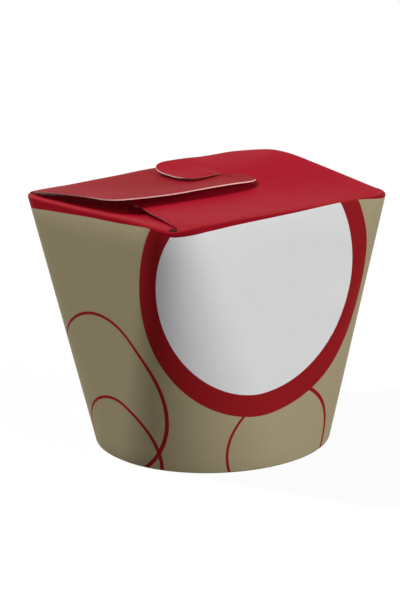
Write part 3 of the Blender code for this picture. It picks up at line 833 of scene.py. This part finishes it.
# ---- materials
class Shader:
    """A node tree with short ways to add to it."""

    def __init__(self, tree):
        self.tree = tree

    def add(self, kind, sources=None, **settings):
        """A node of this kind with these settings, its sockets fed from these sources."""
        node = self.tree.nodes.new("ShaderNode" + kind)
        for key, value in settings.items():
            setattr(node, key, value)
        for socket, source in (sources or {}).items():
            self.join(source, node.inputs[socket])
        return node

    def join(self, source, target):
        if isinstance(source, (int, float, tuple)):
            target.default_value = source
        else:
            self.tree.links.new(source, target)

    def math(self, operation, *values, clamp=False):
        return self.add("Math", dict(enumerate(values)), operation=operation,
                        use_clamp=clamp).outputs[0]

    def times(self, a, b, clamp=False):
        return self.math("MULTIPLY", a, b, clamp=clamp)

    def flip(self, value):
        return self.math("SUBTRACT", 1.0, value)

    def vector(self, operation, a, b):
        node = self.add("VectorMath", {0: a, 1: b}, operation=operation)
        return node.outputs["Value" if operation == "DISTANCE" else "Vector"]

    def field(self, name):
        """A value that the mesh carries at each point."""
        return self.add("Attribute", attribute_name=name).outputs["Fac"]

    def step(self, value, at, soft):
        """0 below at, 1 above it, with a smooth change over soft each side."""
        ends = {"Value": value, "From Min": at - soft, "From Max": at + soft}
        node = self.add("MapRange", ends, interpolation_type="SMOOTHSTEP")
        return node.outputs["Result"]

    def within(self, place, centre, radius, mask):
        """The mask inside a circle, 0 outside it."""
        outside = self.step(self.vector("DISTANCE", place, centre), radius, PRINT_SOFT)
        return self.times(mask, self.flip(outside))

    def spread(self, value, low, high):
        """Map 0..1 to low..high."""
        ends = {"Value": value, "To Min": low, "To Max": high}
        return self.add("MapRange", ends).outputs["Result"]

    def blend(self, share, a, b, how="MIX"):
        return self.add("Mix", {"Factor": share, "A": a, "B": b}, data_type="RGBA",
                        blend_type=how).outputs["Result"]

    def noise(self, place, scale, detail, roughness):
        looks = {"Vector": place, "Scale": scale, "Detail": detail, "Roughness": roughness}
        return self.add("TexNoise", looks).outputs["Fac"]

    def group(self, tree, **values):
        return self.add("Group", values, node_tree=tree).outputs

    def seen(self):
        """1 where the camera sees a thing, also in a gloss, 0 for the light it throws."""
        path = self.add("LightPath").outputs
        either = self.math("ADD", path["Is Camera Ray"], path["Is Glossy Ray"])
        return self.math("ADD", either, path["Is Transmission Ray"], clamp=True)


def new_group(name, results, **inputs):
    """A node group; its inputs are named with their defaults, and its results are numbers."""
    tree = bpy.data.node_groups.new(name, "ShaderNodeTree")
    for label, default in inputs.items():
        kind = "NodeSocketVector" if isinstance(default, tuple) else "NodeSocketFloat"
        socket = tree.interface.new_socket(label, in_out="INPUT", socket_type=kind)
        socket.default_value = default
    for label in results:
        tree.interface.new_socket(label, in_out="OUTPUT", socket_type="NodeSocketFloat")
    given = tree.nodes.new("NodeGroupInput").outputs
    return Shader(tree), given, tree.nodes.new("NodeGroupOutput").inputs


def paper_grain():
    """Mottle and fine relief of board, for the printed, the bare and the cut faces."""
    shader, given, gives = new_group("paper_grain", ("Mottle", "Height"), Fibre=1400.0)
    place = shader.add("TexCoord").outputs["Object"]
    fine = shader.noise(place, given["Fibre"], 3.0, 0.6)
    cloud = shader.noise(place, 90.0, 3.0, 0.55)
    wave = shader.noise(place, 22.0, 1.0, 0.4)
    mottle = shader.math("ADD", shader.times(fine, 0.45), shader.times(cloud, 0.55))
    relief = shader.math("ADD", shader.times(fine, 0.16), shader.times(wave, 1.3))
    shader.join(mottle, gives["Mottle"])
    shader.join(relief, gives["Height"])
    return shader.tree


def thin_ring():
    """A drawn ring whose line swells on one side."""
    shader, given, gives = new_group(
        "thin_ring", ("Mask",), Place=(0.0, 0.0, 0.0), Centre=(0.0, 0.0, 0.0), Radius=0.03,
        Line=0.0013, Swell=0.0003)
    place = given["Place"]
    centre = given["Centre"]
    parts = shader.add("SeparateXYZ", {0: shader.vector("SUBTRACT", place, centre)})
    lean = shader.math("DIVIDE", parts.outputs["X"], given["Radius"])
    width = shader.math("ADD", given["Line"], shader.times(lean, given["Swell"]))
    away = shader.vector("DISTANCE", place, centre)
    off = shader.math("ABSOLUTE", shader.math("SUBTRACT", away, given["Radius"]))
    inner = shader.math("SUBTRACT", shader.times(width, 0.5), off)
    shader.join(shader.step(inner, 0.0, PRINT_SOFT), gives["Mask"])
    return shader.tree


def new_material(name):
    mat = bpy.data.materials.new(name)
    mat.use_nodes = True
    shader = Shader(mat.node_tree)
    return mat, shader, mat.node_tree.nodes["Principled BSDF"].inputs


def rgba(values):
    return (*values, 1.0)


def bump(shader, height, strength, distance, under=None):
    sources = {"Height": height, "Strength": strength, "Distance": distance}
    if under is not None:
        sources["Normal"] = under
    return shader.add("Bump", sources).outputs["Normal"]


def finish(shader, face, tint, roughness, gloss, normal):
    shader.join(tint, face["Base Color"])
    shader.join(roughness, face["Roughness"])
    face["Specular IOR Level"].default_value = gloss
    shader.join(normal, face["Normal"])


def printed_board(look, pail, grain, ring):
    """Outer face: khaki wall with thin rings, bare disc in a red ring, red lid."""
    mat, shader, face = new_material("printed_board")
    plan = shader.add("UVMap", uv_map="flat_blank").outputs["UV"]
    past = shader.field("past_crease")
    wall = shader.flip(shader.step(past, PRINT_END, 0.0001))
    in_ring = shader.within(plan, (look.ring_x, look.ring_up, 0.0), look.ring_radius, wall)
    in_disc = shader.within(plan, (look.disc_x, look.disc_up, 0.0), look.disc_radius, wall)
    lines = None
    for centre, radius in ring_places(pail):
        mask = shader.group(ring, Place=plan, Centre=centre, Radius=radius, Line=look.line,
                            Swell=look.line_swell)["Mask"]
        lines = mask if lines is None else shader.math("MAXIMUM", lines, mask)
    in_lid = shader.step(shader.field("above_red_edge"), 0.0, PRINT_SOFT)
    red = shader.math("MAXIMUM", lines, in_ring)
    red = shader.times(red, shader.flip(in_disc))
    red = shader.math("MAXIMUM", red, in_lid)
    mottle, relief = shader.group(grain, Fibre=1500.0)
    ink = shader.blend(in_disc, rgba(look.khaki), rgba(look.white))
    # the back flap's red is made darker and duller, in lengthwise streaks
    worn = shader.times(shader.field("worn"), streaks(shader, plan), clamp=True)
    lid_red = shader.blend(worn, rgba(look.red), rgba(look.worn_red))
    ink = shader.blend(red, ink, shader.blend(in_lid, rgba(look.wall_red), lid_red))
    tint = shader.spread(mottle, 0.93, 1.07)
    ink = shader.blend(1.0, ink, tint, "MULTIPLY")
    # painted highlight: a faint lighter orange line along each crease, partly rubbed ink and partly
    # the crest's highlight painted into the colour
    crest = shader.flip(shader.step(shader.math("ABSOLUTE", past), CREASE_RUB_AND_HIGHLIGHT_WIDTH, CREASE_RUB_AND_HIGHLIGHT_WIDTH))
    rub_and_highlight = shader.times(crest, shader.spread(mottle, 0.02, 0.1))
    ink = shader.blend(rub_and_highlight, ink, CREASE_RUB_AND_HIGHLIGHT)
    finish(shader, face, ink, shader.spread(mottle, 0.46, 0.56), 0.018,
           bump(shader, relief, 0.2, 0.0004, crease_bend(shader, past)))
    return mat


def crease_bend(shader, past):
    """The wall catches the light as if it leaned in a little, more so nearer the crease."""
    into = shader.math("MAXIMUM", shader.math("ADD", past, LEAN_REACH), 0.0)
    into = shader.math("MINIMUM", into, LEAN_REACH)
    height = shader.times(shader.times(into, into), LEAN_CURVE)
    return bump(shader, height, 1.0, 1.0)


def streaks(shader, plan):
    """Faint lengthwise streaks along the flap."""
    stretched = shader.vector("MULTIPLY", plan, STREAKS)
    return shader.spread(shader.noise(stretched, 1.0, 3.0, 0.6), 0.55, 1.35)


def ring_places(pail):
    """(centre on the flat blank, radius) of each thin ring."""
    stands = stations(pail)
    out = []
    for around, up, radius in THIN_RINGS:
        ruling = min(stands, key=lambda s: abs(s[0].around - around))[0]
        p = ruling.flat(up)
        out.append(((p.x, p.y, 0.0), radius))
    return out


def bare_board(name, tone, grain):
    """Uncoated inner face of the board."""
    mat, shader, face = new_material(name)
    mottle, relief = shader.group(grain, Fibre=1100.0)
    tint = shader.spread(mottle, 0.9, 1.1)
    finish(shader, face, shader.blend(1.0, rgba(tone), tint, "MULTIPLY"),
           shader.spread(mottle, 0.72, 0.86), 0.2,
           bump(shader, relief, 0.3, 0.0004))
    return mat


def cut_board(look, grain):
    """Cut edge: pale fibres where they are bare, stained with small nicks where they are not."""
    mat, shader, face = new_material("cut_board")
    place = shader.add("TexCoord").outputs["Object"]
    mottle, relief = shader.group(grain, Fibre=2600.0)
    nicks = shader.step(shader.noise(place, 620.0, 2.0, 0.6), 0.62, 0.05)
    bare = shader.math("MAXIMUM", shader.field("bare"), shader.times(nicks, 0.3))
    bare = shader.times(bare, shader.spread(mottle, 0.75, 1.25), clamp=True)
    lid = shader.step(shader.field("above_red_edge"), 0.0, 0.0002)
    stain = shader.times(lid, shader.flip(bare))
    finish(shader, face, shader.blend(stain, rgba(look.edge), rgba(look.red)), 0.85, 0.05,
           bump(shader, relief, 0.5, 0.0003))
    return mat


def shared(make):
    """The node group that this function makes, made only once."""
    return bpy.data.node_groups.get(make.__name__) or make()


# ---- pieces
def give_thickness(obj, board):
    """Thicken a sheet inwards: slot 1 is its inner face and slot 2 its cut edge."""
    bpy.ops.object.select_all(action="DESELECT")
    obj.select_set(True)
    bpy.context.view_layer.objects.active = obj
    skin = obj.modifiers.new("board", "SOLIDIFY")
    skin.thickness = board
    skin.offset = -1.0
    skin.use_even_offset = True
    skin.use_quality_normals = True
    skin.thickness_clamp = 0.0
    skin.material_offset = 1
    skin.material_offset_rim = 2
    bpy.ops.object.modifier_apply(modifier=skin.name)
    bpy.ops.object.shade_smooth_by_angle(angle=math.radians(SMOOTH_ANGLE))


class PAIL_OT_fold_blank(bpy.types.Operator):
    """Fold the die-cut blank: wall, rolled hem, glued seam and the hooked lid"""
    bl_idname = "pail.fold_blank"
    bl_label = "Fold the Blank"

    def execute(self, context):
        scene = context.scene
        pail = Pail(scene.pail_sizes, scene.pail_lid)
        look = scene.pail_print
        grain = shared(paper_grain)
        ring = shared(thin_ring)
        blank = folded_blank(pail).piece("folded_blank")
        # slot 1, the inner face, takes look.inside, a darker tone that is painted shade
        for mat in (printed_board(look, pail, grain, ring),
                    bare_board("inner_board", look.inside, grain), cut_board(look, grain)):
            blank.data.materials.append(mat)
        give_thickness(blank, pail.s.board)
        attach(blank, ROOT)
        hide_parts("lid_and_wall_blank")
        return {"FINISHED"}


class PAIL_OT_dress_floor(bpy.types.Operator):
    """Give the floor disc its uncoated board"""
    bl_idname = "pail.dress_floor"
    bl_label = "Dress the Floor Disc"

    def execute(self, context):
        grain = shared(paper_grain)
        disc = frame["nodes"]["floor_disc"]
        disc.data.materials.clear()
        disc.data.materials.append(bare_board("floor_board", context.scene.pail_print.board, grain))
        return {"FINISHED"}


def sun(name, towards, strength, spread, shadow):
    """A light at infinity; a white face square to it shows at this strength."""
    lamp = bpy.data.lights.new(name, "SUN")
    lamp.use_shadow = shadow
    lamp.energy = strength * math.pi
    lamp.angle = math.radians(spread)
    obj = bpy.data.objects.new(name, lamp)
    obj.rotation_mode = "QUATERNION"
    obj.rotation_quaternion = Vector(towards).to_track_quat("Z", "Y")
    obj.location = Vector(towards).normalized()
    bpy.context.collection.objects.link(obj)


class PAIL_OT_set_stage(bpy.types.Operator):
    """Set the floor, the lights and the camera"""
    bl_idname = "pail.set_stage"
    bl_label = "Set the Stage"

    def execute(self, context):
        scene = context.scene
        stage = scene.pail_stage
        self.floor(stage)
        self.world(scene, stage)
        for name, towards, spread, shadow in SUNS:
            sun(name, towards, getattr(stage, name), spread, shadow)
        self.camera(scene, stage)
        scene.view_settings.view_transform = "Standard"
        return {"FINISHED"}

    def floor(self, stage):
        bpy.ops.object.select_all(action="DESELECT")
        bpy.ops.mesh.primitive_circle_add(vertices=96, radius=FLOOR_RADIUS, fill_type="NGON")
        floor = bpy.context.object
        floor.name = "floor"
        mat, shader, _ = new_material("floor")
        mat.node_tree.nodes.remove(mat.node_tree.nodes["Principled BSDF"])
        thrown, shade, glow = (
            shader.add(kind, {"Color": rgba(tone)}).outputs[0] for kind, tone in (
                ("BsdfDiffuse", stage.floor), ("BsdfDiffuse", (FLOOR_SHADE,) * 3),
                ("Emission", (FLOOR_GLOW,) * 3)))
        pale = shader.add("AddShader", {0: shade, 1: glow}).outputs[0]
        mix = shader.add("MixShader", {0: shader.seen(), 1: thrown, 2: pale})
        out = mat.node_tree.nodes["Material Output"]
        shader.join(mix.outputs[0], out.inputs["Surface"])
        floor.data.materials.append(mat)

    def world(self, scene, stage):
        world = bpy.data.worlds.new("studio")
        world.use_nodes = True
        shader = Shader(world.node_tree)
        backdrop = world.node_tree.nodes["Background"]
        shader.join((1.0, 1.0, 1.0, 1.0), backdrop.inputs["Color"])
        shader.join(shader.spread(shader.seen(), stage.sky, 1.0), backdrop.inputs["Strength"])
        scene.world = world

    def camera(self, scene, stage):
        az = stage.azimuth
        el = stage.elevation
        back = Vector((math.sin(az) * math.cos(el), -math.cos(az) * math.cos(el), math.sin(el)))
        right = Vector((math.cos(az), math.sin(az), 0.0))
        up = back.cross(right)
        middle = Vector((0.0, 0.0, scene.pail_sizes.wall_height / 2))
        target = middle + right * stage.shift_right + up * stage.shift_up
        turned = right * math.cos(stage.roll) + up * math.sin(stage.roll)
        data = bpy.data.cameras.new("camera")
        data.lens = stage.lens
        data.clip_start = 0.01
        camera = bpy.data.objects.new("camera", data)
        axes = Matrix((turned, back.cross(turned), back)).transposed().to_4x4()
        camera.matrix_world = Matrix.Translation(target + back * stage.distance) @ axes
        scene.collection.objects.link(camera)
        scene.camera = camera


class PAIL_PT_panel(bpy.types.Panel):
    bl_label = "Food Pail"
    bl_space_type = "VIEW_3D"
    bl_region_type = "UI"
    bl_category = "Food Pail"

    def draw(self, context):
        layout = self.layout
        for group in GROUPS:
            settings = getattr(context.scene, group)
            box = layout.box()
            for name in settings.__annotations__:
                box.prop(settings, name)
        for operator in OPERATORS:
            layout.operator(operator.bl_idname)


GROUPS = {"pail_sizes": PailSizes, "pail_lid": PailLid, "pail_print": PailPrint,
          "pail_stage": PailStage}
OPERATORS = (PAIL_OT_fold_blank, PAIL_OT_dress_floor, PAIL_OT_set_stage)
CLASSES = (*GROUPS.values(), *OPERATORS, PAIL_PT_panel)


def register():
    for cls in CLASSES:
        bpy.utils.register_class(cls)
    for name, group in GROUPS.items():
        setattr(bpy.types.Scene, name, PointerProperty(type=group))


def unregister():
    for name in GROUPS:
        delattr(bpy.types.Scene, name)
    for cls in reversed(CLASSES):
        bpy.utils.unregister_class(cls)


def main():
    register()
    bpy.ops.pail.fold_blank()
    bpy.ops.pail.dress_floor()
    bpy.ops.pail.set_stage()


if __name__ == "__main__":
    main()
